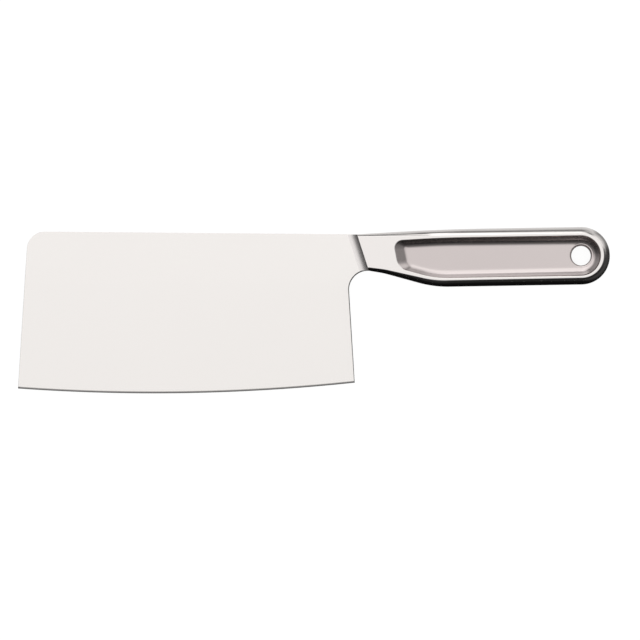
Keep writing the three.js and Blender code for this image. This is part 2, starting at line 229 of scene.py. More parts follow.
class CleaverFinish(bpy.types.PropertyGroup):
    """Colours and polish of the steel"""

    blade: colour("Blade", "Satin blade steel", 0.83, 0.8, 0.777)
    blade_roughness: factor("Blade roughness", "Satin of the blade's faces", 0.22)
    # The bevel's polish is its own; its colour, darker than the blade's steel, is painted shade
    # along the cutting edge
    bevel: colour("Bevel", "Polished edge bevel", 0.62, 0.6, 0.585)
    bevel_roughness: factor("Bevel roughness", "Polish of the edge bevel", 0.14)
    handle: colour("Handle", "Satin rim and sides of the handle", 0.8, 0.765, 0.745)
    handle_roughness: factor("Handle roughness", "Satin of the rim and sides", 0.2)
    recess: colour("Recess", "Bead-blasted floor and walls of the recess", 0.587, 0.53, 0.519)
    recess_roughness: factor("Recess roughness", "Matt of the blasted steel", 0.2)
    weld: colour("Weld", "Ground weld metal", 0.79, 0.755, 0.74)
    weld_roughness: factor("Weld roughness", "Satin of the ground welds", 0.28)
    sleeve: colour("Sleeve", "Steel of the hang hole's sleeve", 0.55, 0.52, 0.51)
    sleeve_roughness: factor("Sleeve roughness", "Matt of the sleeve", 0.4)


class CleaverStudio(bpy.types.PropertyGroup):
    """Camera, light and floor"""

    field: length("Field", "Width of the view at the knife", 320)
    distance: length("Distance", "Camera to the knife", 3000)
    tilt: angle("Tilt", "Camera leaning from overhead towards the edge", 1)
    centre: FloatVectorProperty(
        name="Centre",
        description="Point on the blade's middle plane that the camera looks at, from the neck",
        default=(-18.5 * MM, -42.85 * MM),
        size=2,
        subtype="XYZ_LENGTH",
        unit="LENGTH",
    )
    floor: colour("Floor", "Pale studio floor", 0.93, 0.93, 0.93)
    tent: length("Tent", "Radius of the light tent", 2200)
    key: angle("Key", "Middle of the tent's bright part, from overhead towards the spine", 25)
    strip: angle("Strip", "Bright strip of the tent behind the spine, from overhead", 80)
    softbox: length("Soft box", "Side of the overhead soft box", 1900)
    softbox_height: length("Soft box height", "Soft box above the floor", 1700)


# Outlines: counterclockwise corners in the knife's plane, each with the radius that rounds it. The
# edge from a corner to the next one can be the top of a ramp.
class Corner(NamedTuple):
    at: Vector
    radius: float
    ramp: bool = False


def turned(vector, turn):
    cos, sin = math.cos(turn), math.sin(turn)
    return Vector((vector.x * cos - vector.y * sin, vector.x * sin + vector.y * cos))


def crossing(a, along_a, b, along_b):
    return a + along_a * ((b - a).cross(along_b) / along_a.cross(along_b))


def inset(corners, distance):
    """The corners moved inwards, each edge by the distances that the function gives for its ends.

    The function takes an end's place in x, and whether the edge is the top of a ramp.
    """
    edges = []
    for here, after in zip(corners, corners[1:] + corners[:1]):
        along = (after.at - here.at).normalized()
        inward = Vector((-along.y, along.x))
        start = here.at + inward * distance(here.at.x, here.ramp)
        end = after.at + inward * distance(after.at.x, here.ramp)
        edges.append((start, (end - start).normalized()))
    moved = []
    for i, here in enumerate(corners):
        (before, along_before), (after, along_after) = edges[i - 1], edges[i]
        bulge = math.copysign(1, along_before.cross(along_after))
        radius = here.radius
        if radius:
            radius = max(radius - bulge * distance(here.at.x, False), LEAST_RADIUS)
        at = crossing(before, along_before, after, along_after)
        moved.append(Corner(at, radius, here.ramp))
    return moved


def rounding(corners, i):
    """The points that round one corner, within its share of the edges beside it."""
    here = corners[i]
    before = corners[i - 1].at - here.at
    after = corners[(i + 1) % len(corners)].at - here.at
    half = before.angle(after) / 2
    reach = min(here.radius / math.tan(half), EDGE_SHARE * before.length, EDGE_SHARE * after.length)
    before.normalize()
    after.normalize()
    centre = here.at + (before + after).normalized() * (reach / math.cos(half))
    start = here.at + before * reach - centre
    turn = math.copysign(math.pi - 2 * half, -before.cross(after))
    return [centre + turned(start, turn * step / ARC_STEPS) for step in range(ARC_STEPS + 1)]


def eased(start, bend, end):
    """Points that round the bend between two straight runs of a section, without the first."""
    points = []
    for step in range(1, ROUND_STEPS + 1):
        t = step / ROUND_STEPS
        points.append(start * (1 - t) ** 2 + bend * (2 * t * (1 - t)) + end * t**2)
    return points


class Plan:
    """The knife's points: x and y from the neck, z from the blade's middle plane."""

    def __init__(self, scene):
        self.blade = scene.cleaver_blade
        self.handle = scene.cleaver_handle
        blade, handle = self.blade, self.handle
        self.along = turned(Vector((1, 0)), handle.rise)
        self.down = Vector((self.along.y, -self.along.x))
        self.hang_hole = self.grip(handle.reach - handle.height / 2, handle.height / 2)
        self.crest = self.grip(handle.crest, 0)
        low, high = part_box("hang_sleeve")
        self.neck = (low + high) / 2 - self.hang_hole.to_3d()
        self.slant = Vector((math.sin(handle.slant), -math.cos(handle.slant)))
        self.slant_back = Vector((-self.slant.y, self.slant.x))
        self.neck_bottom = self.slant * (handle.neck_height / math.cos(handle.slant))
        self.tip = Vector((-blade.spine, blade.spine_rise))
        self.front = Vector((-math.sin(blade.front_lean), -math.cos(blade.front_lean)))
        self.toe = self.tip + self.front * (blade.front_depth / -self.front.y)
        self.heel_line = Vector((math.sin(blade.heel_lean), -math.cos(blade.heel_lean)))
        self.choil = Vector((-blade.heel_setback, self.neck_bottom.y))
        heel_drop = blade.heel_depth + self.choil.y
        self.heel = self.choil + self.heel_line * (heel_drop / -self.heel_line.y)
        self.blade_half = blade.thickness / 2
        self.floor = self.blade_half + handle.sheet
        chord = self.heel - self.toe
        up = Vector((-chord.y, chord.x)).normalized()
        rise = math.sqrt(blade.edge_radius**2 - (chord.length / 2) ** 2)
        self.edge_centre = self.toe + chord / 2 + up * rise

    def grip(self, along, below):
        return self.along * along + self.down * (below - self.handle.crest_rise)

    def place(self, point):
        return self.neck + point

    def rim_height(self, x):
        neck = self.handle.neck_thickness
        return (neck + (self.handle.butt_thickness - neck) * x / self.hang_hole.x) / 2

    def crown(self, x):
        neck = self.handle.neck_crown
        return neck + (self.handle.grip_crown - neck) * min(x / self.handle.crest, 1)

    def edge(self, x):
        across = x - self.edge_centre.x
        return self.edge_centre.y - math.sqrt(self.blade.edge_radius**2 - across**2)

    def side(self, x):
        """The arc of the handle's side, upright at the seam: its radius and sweep to the rim."""
        rise, crown = self.rim_height(x) - self.handle.seam / 2, self.crown(x)
        radius = (rise**2 + crown**2) / (2 * crown)
        return radius, math.asin(rise / radius)

    def drawn_in(self, x, height):
        """How far the side has drawn in at a height."""
        radius, sweep = self.side(x)
        rise = min(height - self.handle.seam / 2, radius * math.sin(sweep))
        return radius - math.sqrt(radius**2 - rise**2)

    def handle_corners(self):
        handle, butt = self.handle, self.handle.height / 2
        ahead = 2 * handle.bolster_run
        return [
            Corner(self.grip(handle.reach, 0), butt),
            Corner(self.crest, handle.crest_radius),
            Corner(self.crest.normalized() * -ahead, 0),
            Corner(self.neck_bottom - Vector((ahead, 0)), 0),
            Corner(self.neck_bottom, 0),
            Corner(self.grip(handle.throat, handle.throat_drop), handle.throat_radius),
            Corner(self.grip(handle.belly, handle.height), handle.belly_radius),
            Corner(self.grip(handle.reach, handle.height), butt),
        ]

    def handle_outline(self, distance):
        """The outline moved inwards, from the foot of the handle's front all round to its top."""
        corners = inset(self.handle_corners(), distance)
        origin = Vector((0, 0))
        low = crossing(corners[3].at, corners[4].at - corners[3].at, origin, self.slant)
        high = crossing(corners[1].at, corners[2].at - corners[1].at, origin, self.slant)
        points = [low, corners[4].at]
        for i in (5, 6, 7, 0, 1):
            points += rounding(corners, i)
        return points + [high]

    def side_section(self, x, _ramp=False):
        """The rounded side at one place along the handle: points so far in and so high."""
        handle = self.handle
        radius, sweep = self.side(x)
        cut = handle.rim_round * math.tan((math.pi / 2 - sweep) / 2)
        section = []
        for step in range(SIDE_STEPS + 1):
            bend = (sweep - cut / radius) * step / SIDE_STEPS
            height = handle.seam / 2 + radius * math.sin(bend)
            section.append(Vector((radius * (1 - math.cos(bend)), height)))
        rim = Vector((self.crown(x), self.rim_height(x)))
        end = rim + Vector((cut, 0))
        return section + eased(section[-1], rim, end) + [end + Vector((HOLD, 0))]

    def recess_corners(self):
        handle = self.handle
        crest, ahead = inset(self.handle_corners(), lambda x, ramp: handle.rim_top)[1:3]
        throat, belly = inset(self.handle_corners(), lambda x, ramp: handle.rim)[5:7]
        front = self.grip(handle.recess_start, handle.crest_rise + handle.rim)
        front_wall = turned(self.down, handle.recess_lean)
        upper = crossing(crest.at, ahead.at - crest.at, front, front_wall)
        lower = crossing(throat.at, belly.at - throat.at, front, front_wall)
        end = handle.reach - handle.rim_end
        end_radius = (handle.height - handle.rim - handle.rim_top) / 2
        return [
            Corner(self.grip(end, handle.rim_top), end_radius),
            crest,
            Corner(upper, handle.recess_front, True),
            Corner(lower, handle.recess_throat),
            belly,
            Corner(self.grip(end, handle.height - handle.rim), end_radius),
        ]

    def recess_outline(self, distance):
        """The lip's outline moved inwards, but not into the rim of the hang hole."""
        corners = inset(self.recess_corners(), distance)
        arcs = [rounding(corners, i) for i in range(len(corners))]
        clear = self.handle.hang_hole / 2 + self.handle.hole_round + 2 * HOLD
        points = []
        for arc, after in zip(arcs, arcs[1:] + arcs[:1]):
            run = [arc[-1].lerp(after[0], step / RUN_STEPS) for step in range(1, RUN_STEPS)]
            for point in arc + run:
                out = point - self.hang_hole
                points.append(self.hang_hole + out * max(clear / out.length, 1))
        return points

    def recess_section(self, x, ramp=False):
        """The recess at one place along the handle, from the rim over the lip down to the floor."""
        handle, rise = self.handle, self.rim_height(x)
        turn = math.pi / 2 - handle.recess_draft
        foot, fillet = handle.recess_foot, handle.recess_fillet

        def run(height, wall, slope):
            """How far from the lip a wall, with the slope at its foot, is at a height."""
            top = fillet * (1 - math.cos(slope))
            bend = math.acos(1 - min(max(height, 0), top) / fillet)
            hollow = fillet * (math.sin(slope) - math.sin(bend))
            sloped = (foot - min(max(height, top), foot)) / math.tan(slope)
            return hollow + sloped + (rise - self.floor - max(height, foot)) / math.tan(wall)

        cut = handle.lip_round * math.tan(turn / 2)
        drop = Vector((math.cos(turn), -math.sin(turn))) * cut
        lip, start = Vector((0, rise)), Vector((-cut, rise))
        section = [start - Vector((HOLD, 0)), start] + eased(start, lip, lip + drop)
        section.append(section[-1] + drop.normalized() * HOLD)
        shares = [1 - step / FILLET_STEPS for step in range(FILLET_STEPS + 1)]
        heights = [fillet * (1 - math.cos(handle.recess_slope * share)) for share in shares]
        for height in [foot + HOLD, foot, foot - HOLD, heights[0] + HOLD, *heights]:
            section.append(Vector((run(height, turn, handle.recess_slope), self.floor + height)))
        section.append(section[-1] + Vector((HOLD, 0)))
        if ramp:
            for point in section[2:]:
                point.x = run(point.y - self.floor, handle.recess_ramp, handle.recess_ramp)
            section[-1].x += HOLD
        return section


# Meshes
class Skin:
    """A mesh in the making, on the left side of the knife or mirrored to its right side."""

    def __init__(self, plan, mirrored=False):
        self.plan = plan
        self.mirrored = mirrored
        self.mesh = bmesh.new()

    def points(self, places):
        side = -1 if self.mirrored else 1
        placed = [self.plan.place(Vector((x, y, z * side))) for x, y, z in places]
        return [self.mesh.verts.new(place) for place in placed]

    def face(self, verts, finish=SATIN):
        if len(set(verts)) < 3:
            return
        face = self.mesh.faces.new(reversed(verts) if self.mirrored else verts)
        face.material_index = finish
        face.smooth = True

    def strip(self, first, second, finish=SATIN, closed=False):
        """Faces between two rows of points. From their front, the second is on the first's left."""
        count = len(first)
        for i in range(count if closed else count - 1):
            j = (i + 1) % count
            self.face([first[i], first[j], second[j], second[i]], finish)

    def strips(self, rows, finish=SATIN, closed=False):
        """Faces between each row of points and the next."""
        for first, second in zip(rows, rows[1:]):
            self.strip(first, second, finish, closed)

    def flat(self, loops, finish=SATIN):
        """A flat face within the first loop and outside the others, looking up."""
        verts = [vert for loop in loops for vert in loop]
        outlines = [[Vector((vert.co.x, vert.co.y, 0)) for vert in loop] for loop in loops]
        for corners in tessellate_polygon(outlines):
            a, b, c = (verts[i] for i in corners)
            upward = (b.co - a.co).xy.cross((c.co - a.co).xy)
            if abs(upward) > LEAST_TRIANGLE:
                self.face([a, b, c] if upward > 0 else [a, c, b], finish)

    def finish(self, name, node, slot, finishes, sharp=SHARP):
        """The piece, standing for its node of the frame."""
        bmesh.ops.remove_doubles(self.mesh, verts=self.mesh.verts, dist=WELD)
        bmesh.ops.dissolve_degenerate(self.mesh, edges=self.mesh.edges, dist=WELD)
        data = bpy.data.meshes.new(name)
        self.mesh.to_mesh(data)
        self.mesh.free()
        for material in finishes:
            data.materials.append(material)
        data.set_sharp_from_angle(angle=sharp)
        piece = bpy.data.objects.new(name, data)
        bpy.context.scene.collection.objects.link(piece)
        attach(piece, "root")
        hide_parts(node)
        return piece


def ring(centre, radius, height):
    points = []
    for step in range(HOLE_STEPS):
        turn = 2 * math.pi * step / HOLE_STEPS
        x, y = centre.x + radius * math.cos(turn), centre.y + radius * math.sin(turn)
        points.append((x, y, height))
    return points


# Steel
class Wire:
    """A socket of a material's nodes. Sums and products of wires add nodes that work them out."""

    def __init__(self, tree, socket=None):
        self.tree = tree
        self.socket = socket

    def node(self, kind, settings, sockets, output=0):
        """The output of a new node of a kind, whose settings are made before its sockets."""
        made = self.tree.nodes.new(kind)
        for name, value in settings.items():
            setattr(made, name, value)
        for name, value in sockets.items():
            if isinstance(value, Wire):
                self.tree.links.new(value.socket, made.inputs[name])
            else:
                made.inputs[name].default_value = value
        return Wire(self.tree, made.outputs[output] if made.outputs else None)

    def sum(self, operation, first, second):
        kinds = [w.socket.type for w in (first, second) if isinstance(w, Wire)]
        kind = "ShaderNodeVectorMath" if "VECTOR" in kinds else "ShaderNodeMath"
        return self.node(kind, {"operation": operation}, {0: first, 1: second})

    def __add__(self, other):
        return self.sum("ADD", self, other)

    def __radd__(self, other):
        return self.sum("ADD", other, self)

    def __sub__(self, other):
        return self.sum("SUBTRACT", self, other)

    def __rsub__(self, other):
        return self.sum("SUBTRACT", other, self)

    def __mul__(self, other):
        return self.sum("MULTIPLY", self, other)

    def __rmul__(self, other):
        return self.sum("MULTIPLY", other, self)

    def dot(self, place, toward):
        settings = {"operation": "DOT_PRODUCT"}
        return self.node("ShaderNodeVectorMath", settings, {0: place, 1: toward}, "Value")

    def blend(self, first, second):
        """The colour that lies this far from the first to the second."""
        # The node has sockets for each kind of value: 6 and 7 take colours, and output 2 gives one
        sockets = {0: self, 6: (*first, 1), 7: (*second, 1)}
        return self.node("ShaderNodeMix", {"data_type": "RGBA"}, sockets, 2)

    def above(self, least):
        return self.sum("MAXIMUM", self, least)

    def step(self, low, high):
        """0 up to low, 1 from high on, and smooth between."""
        sockets = {"Value": self, "From Min": low, "From Max": high}
        return self.node("ShaderNodeMapRange", {"interpolation_type": "SMOOTHSTEP"}, sockets)

    def noise(self, place, detail):
        sockets = {"Vector": place, "Scale": 1, "Detail": detail}
        return self.node("ShaderNodeTexNoise", {}, sockets, "Fac")


class Grain(NamedTuple):
    """Marks of a finish: millimetres along X, Y and Z, their depth in millimetres, and contrast."""

    size: tuple
    depth: float
    contrast: float


GRAINS = {
    # Satin faces, ground in fine lines from the spine to the edge
    "blade": Grain((0.09, 7, 7), 0.002, 0.03),
    # Polished edge bevel, honed square to the edge
    "bevel": Grain((0.05, 3, 3), 0.001, 0.05),
    # Satin rim and sides, brushed along the handle
    "handle": Grain((6, 0.1, 0.1), 0.002, 0.03),
    # Bead-blasted recess, an even matt with fine pits
    "recess": Grain((0.16, 0.16, 0.16), 0.005, 0.06),
    # Weld metal, ground along the bead
    "weld": Grain((0.35, 1.6, 0.35), 0.006, 0.06),
    # Drawn tube, blasted with the recess
    "sleeve": Grain((0.2, 0.2, 0.5), 0.015, 0.06),
}


def blank_material(name):
    """A new material without nodes, and a wire to add them by."""
    material = bpy.data.materials.new(name)
    material.use_nodes = True
    material.node_tree.nodes.clear()
    return material, Wire(material.node_tree)


def steel(finish, piece):
    """Stainless steel in the colour, roughness and grain of a piece."""
    material, start = blank_material(f"{piece}_steel")
    base, roughness = getattr(finish, piece), getattr(finish, f"{piece}_roughness")
    grain = GRAINS[piece]
    place = start.node("ShaderNodeTexCoord", {}, {}, "Object")
    marks = start.noise(place * tuple(1 / (size * MM) for size in grain.size), MARK_DETAIL)
    cloud = start.noise(place * ((CLOUDS_PER_METRE,) * 3), CLOUD_DETAIL)
    mark_shift, cloud_shift = marks - NOISE_MEAN, cloud - NOISE_MEAN
    tone = MIDDLE_TONE + mark_shift * MARK_TONE + cloud_shift * CLOUD_TONE
    dark = [part * (1 - grain.contrast) for part in base]
    light = [min(part * (1 + grain.contrast), 1) for part in base]
    matt = roughness + mark_shift * (MARK_MATT * roughness) + cloud_shift * (CLOUD_MATT * roughness)
    sockets = {"Strength": BUMP_STRENGTH, "Distance": grain.depth * MM, "Height": marks}
    bump = start.node("ShaderNodeBump", {}, sockets)
    sockets = {
        "Base Color": tone.blend(dark, light),
        "Metallic": 1,
        "Roughness": matt,
        "Normal": bump,
    }
    bsdf = start.node("ShaderNodeBsdfPrincipled", {}, sockets)
    start.node("ShaderNodeOutputMaterial", {}, {"Surface": bsdf})
    return material


# Operators
class CLEAVER_OT_blade(bpy.types.Operator):
    """Grind the blade, with its tang, to a tapered section with an edge bevel"""

    bl_idname = "cleaver.blade"
    bl_label = "Grind blade"

    def execute(self, context):
        plan = Plan(context.scene)
        blade = plan.blade
        skin = Skin(plan)
        faces = [self.half(plan, skin, side) for side in (1, -1)]
        upper, lower = faces
        for rows in ("outline", "front", "back", "land"):
            skin.strip(lower[rows], upper[rows], POLISHED if rows == "land" else SATIN)
        weight = skin.mesh.edges.layers.float.new("bevel_weight_edge")
        breaks = {"spine_break": blade.edge_break, "heel_break": blade.heel_break}
        for half in faces:
            for rows, reach in breaks.items():
                for a, b in zip(half[rows], half[rows][1:]):
                    half_thickness = abs(a.co.z + b.co.z - 2 * plan.neck.z) / 2
                    width = min(BREAK_SHARE * half_thickness, reach)
                    skin.mesh.edges.get((a, b))[weight] = width / blade.heel_break
        finish = context.scene.cleaver_finish
        finishes = [steel(finish, "blade"), steel(finish, "bevel")]
        piece = skin.finish("cleaver_blade", "blade", "blade_steel", finishes)
        rounded = piece.modifiers.new("Edge break", "BEVEL")
        rounded.limit_method = "WEIGHT"
        rounded.width = blade.heel_break
        rounded.segments = BREAK_SEGMENTS
        rounded.use_clamp_overlap = False
        rounded.harden_normals = True
        return {"FINISHED"}

    def half(self, plan, skin, side):
        """One face of the blade: rows of points along its outline, front, back and cutting edge."""
        blade, t = plan.blade, plan.blade_half
        corners = [
            Corner(Vector((0, 0)), 0),
            Corner(plan.tip, blade.tip_radius),
            Corner(plan.toe, 0),
            Corner(plan.heel, 0),
            Corner(plan.choil, blade.choil_radius),
            Corner(plan.neck_bottom + Vector((blade.choil_radius, 0)), 0),
        ]
        hollow = rounding(corners, 4)
        middle = self.middle(hollow)
        radius = (hollow[0] - middle).length

        def front(y):
            return plan.tip.x + plan.front.x * (y - plan.tip.y) / plan.front.y

        def back(y):
            if y < hollow[0].y:
                return plan.choil.x + plan.heel_line.x * (y - plan.choil.y) / plan.heel_line.y
            return middle.x - math.sqrt(radius**2 - (y - middle.y) ** 2)

        def shoulder(x):
            return plan.edge(x) + blade.bevel

        def row(share, low, thickness):
            top = -blade.grind_start
            ends = []
            for end in (front, back):
                y = top
                for _ in range(SETTLING_ROUNDS):
                    y = top + (low(end(y)) - top) * share
                ends.append((end(y), y))
            places = []
            for step in range(EDGE_STATIONS + 1):
                u = step / EDGE_STATIONS
                x = ends[0][0] + (ends[1][0] - ends[0][0]) * u
                y = ends[1][1] if step == EDGE_STATIONS else top + (low(x) - top) * share
                places.append((x, y, thickness * side))
            return skin.points(places)

        rows = []
        for share in GRIND_ROWS:
            rows.append(row(share, shoulder, t + (blade.shoulder / 2 - t) * share))
        rows.append(row(1, plan.edge, blade.land / 2))
        choil = [p for p in hollow if p.y > -blade.grind_start]
        outline = choil + self.tang(plan) + rounding(corners, 1)
        inner = skin.points([(p.x, p.y, t * side) for p in outline])
        loop = rows[0] + inner
        skin.face(loop if side > 0 else loop[::-1])
        for i, (above, below) in enumerate(zip(rows, rows[1:])):
            finish = POLISHED if i == len(rows) - 2 else SATIN
            if side > 0:
                skin.strip(below, above, finish)
            else:
                skin.strip(above, below, finish)
        return {
            "outline": [rows[0][-1]] + inner + [rows[0][0]],
            "front": [r[0] for r in rows],
            "back": [r[-1] for r in reversed(rows)],
            "land": rows[-1],
            "spine_break": inner[-ARC_STEPS - 2 :] + [r[0] for r in rows[:-1]],
            "heel_break": [r[-1] for r in reversed(rows[:-1])] + inner[: len(choil) + 1],
        }

    @staticmethod
    def tang(plan):
        """The outline from the foot of the handle's front, round the tang and up to the neck."""
        blade, handle = plan.blade, plan.handle
        sleeve = handle.hang_hole / 2 + handle.sleeve_wall
        end = handle.reach - handle.height / 2 - sleeve - blade.tang_gap
        end_drop = (handle.height - blade.tang_end) / 2
        top, low = plan.grip(end, end_drop), plan.grip(end, end_drop + blade.tang_end)
        root_top = plan.grip(0, blade.tang_drop)
        root_low = plan.grip(0, blade.tang_drop + blade.tang_root)
        neck = Vector((0, 0))
        return [
            plan.neck_bottom,
            crossing(root_low, low - root_low, neck, plan.slant),
            low,
            top,
            crossing(root_top, top - root_top, neck, plan.slant),
            neck,
        ]

    @staticmethod
    def middle(arc):
        """The centre of the circle through an arc's ends and middle."""
        a, b, c = arc[0], arc[len(arc) // 2], arc[-1]
        ab, bc = b - a, c - b
        return crossing(a + ab / 2, Vector((-ab.y, ab.x)), b + bc / 2, Vector((-bc.y, bc.x)))


class CLEAVER_OT_handle_halves(bpy.types.Operator):
    """Press the two halves of the handle, each with its recess and its side of the hang hole"""

    bl_idname = "cleaver.handle_halves"
    bl_label = "Press handle halves"

    def execute(self, context):
        plan = Plan(context.scene)
        finish = context.scene.cleaver_finish
        finishes = [steel(finish, "handle"), steel(finish, "recess")]
        for name, mirrored in (("left", False), ("right", True)):
            skin = Skin(plan, mirrored)
            self.press(plan, skin)
            piece, node = f"handle_half_{name}", f"handle_shell_{name}"
            skin.finish(piece, node, "handle_steel", finishes, SHARP_PRESSED)
        return {"FINISHED"}

    def press(self, plan, skin):
        handle = plan.handle
        sides = self.rings(skin, plan.side_section, plan.handle_outline)
        seam = handle.seam / 2
        edge = [(p.x, p.y, seam) for p in plan.handle_outline(lambda x, ramp: handle.sheet)]
        sides.insert(0, skin.points(edge))
        skin.strips(sides)
        walls = self.rings(skin, plan.recess_section, plan.recess_outline)
        skin.strips(walls[: ROUND_STEPS + 1], closed=True)
        skin.strips(walls[ROUND_STEPS:], BLASTED, closed=True)
        skin.flat([sides[-1], walls[0][::-1]])
        hole = handle.hang_hole / 2
        rims = [ring(plan.hang_hole, hole + handle.hole_round + HOLD, plan.floor)]
        for step in range(ROUND_STEPS + 1):
            bend = math.pi / 2 * step / ROUND_STEPS
            out = hole + handle.hole_round * (1 - math.sin(bend))
            drop = handle.hole_round * (1 - math.cos(bend))
            rims.append(ring(plan.hang_hole, out, plan.floor - drop))
        rims.append(ring(plan.hang_hole, hole, plan.blade_half))
        rims = [skin.points(places) for places in rims]
        skin.strips(rims, BLASTED, closed=True)
        skin.flat([walls[-1], rims[0][::-1]], BLASTED)

    @staticmethod
    def rings(skin, section, outline):
        """A ring of points for each point of the section, which changes along the handle."""
        made = []
        for i in range(len(section(0))):
            points = outline(lambda x, ramp, i=i: section(x, ramp)[i].x)
            made.append(skin.points([(p.x, p.y, section(p.x)[i].y) for p in points]))
        return made


class CLEAVER_OT_seam_bead(bpy.types.Operator):
    """Lay the weld between the halves of the handle, ground flush with their sides"""

    bl_idname = "cleaver.seam_bead"
    bl_label = "Weld seam"

    def execute(self, context):
        plan = Plan(context.scene)
        handle = plan.handle
        skin = Skin(plan)
        outer = plan.handle_outline(lambda x, ramp: 0)
        inner = plan.handle_outline(lambda x, ramp: handle.sheet)
        half = handle.seam / 2
        section = [(inner, -half), (outer, -half), (outer, half), (inner, half)]
        rows = [skin.points([(p.x, p.y, z) for p in points]) for points, z in section]
        skin.strips(rows + rows[:1])
        for end in (0, -1):
            corners = [row[end] for row in rows]
            skin.face(corners if end else corners[::-1])
        finish = steel(context.scene.cleaver_finish, "weld")
        skin.finish("seam_bead", "seam_weld", "weld_steel", [finish])
        return {"FINISHED"}


class CLEAVER_OT_bolster_beads(bpy.types.Operator):
    """Grind the hollow weld on each side that joins the slanted front of the handle to the blade"""

    bl_idname = "cleaver.bolster_beads"
    bl_label = "Grind bolster welds"

    def execute(self, context):
        plan = Plan(context.scene)
        finish = steel(context.scene.cleaver_finish, "weld")
        for name, mirrored in (("left", False), ("right", True)):
            skin = Skin(plan, mirrored)
            self.grind(plan, skin)
            skin.finish(f"bolster_bead_{name}", f"bolster_weld_{name}", "weld_steel", [finish])
        return {"FINISHED"}

    def grind(self, plan, skin):
        run, rise, low = plan.handle.bolster_run, plan.handle.bolster_rise, plan.blade_half
        radius = (run**2 + rise**2) / (2 * rise)
        bottom = plan.neck_bottom.length

        def section(along, share):
            """How far the hollow reaches over the blade, and its height, at a share of its sweep.

            From 1 to 2 the share goes up the bare front of the handle, over the hollow.
            """
            if share > 1:
                bare = plan.rim_height(plan.slant.x * along) - low - rise
                return 0, low + rise + bare * (share - 1)
            bend = math.asin(run / radius) * share
            return run - radius * math.sin(bend), low + radius * (1 - math.cos(bend))

        def ends(out, height):
            """Where the handle's rounded sides cut a line beside its front, along the slant."""
            start = self.beside(plan, 0, out)
            drawn = plan.drawn_in(0, height)
            along = plan.crest.normalized()
            top = crossing(Vector((along.y, -along.x)) * drawn, along, start, plan.slant)
            underside = Vector((0, plan.neck_bottom.y + drawn))
            foot = crossing(underside, Vector((1, 0)), start, plan.slant)
            return (top - start).dot(plan.slant), (foot - start).dot(plan.slant)

        shares = [step / FILLET_STEPS for step in range(FILLET_STEPS + 1)]
        rows = []
        for share in shares + [1 + step / SIDE_STEPS for step in range(1, SIDE_STEPS + 1)]:
            top = ends(*section(0, share))[0]
            foot = ends(*section(bottom, share))[1]
            places = []
            for step in range(BOLSTER_STATIONS + 1):
                along = foot + (top - foot) * step / BOLSTER_STATIONS
                out, height = section(along, share)
                point = self.beside(plan, along, out)
                places.append((point.x, point.y, height))
            rows.append(skin.points(places))
        skin.strips(rows[::-1])
        for end, along in ((1, bottom), (0, 0)):
            columns = []
            for share in shares:
                out, height = section(along, share)
                column = []
                for step in range(SIDE_STEPS + 1):
                    z = low + (height - low) * step / SIDE_STEPS
                    point = self.beside(plan, ends(out, z)[end], out)
                    column.append((point.x, point.y, z))
                columns.append(skin.points(column))
            skin.strips(columns[::-1] if end else columns)

    @staticmethod
    def beside(plan, along, out):
        return plan.slant * along - plan.slant_back * out


class CLEAVER_OT_hang_sleeve(bpy.types.Operator):
    """Fit the sleeve that lines the hang hole between the floors of the two recesses"""

    bl_idname = "cleaver.hang_sleeve"
    bl_label = "Fit hang sleeve"

    def execute(self, context):
        plan = Plan(context.scene)
        skin = Skin(plan)
        bore = plan.handle.hang_hole / 2
        outside = bore + plan.handle.sleeve_wall
        half = plan.blade_half
        section = [(bore, half), (bore, -half), (outside, -half), (outside, half)]
        rows = [skin.points(ring(plan.hang_hole, radius, z)) for radius, z in section]
        skin.strips(rows + rows[:1], closed=True)
        finish = steel(context.scene.cleaver_finish, "sleeve")
        skin.finish("hang_hole_sleeve", "hang_sleeve", "sleeve_steel", [finish])
        return {"FINISHED"}


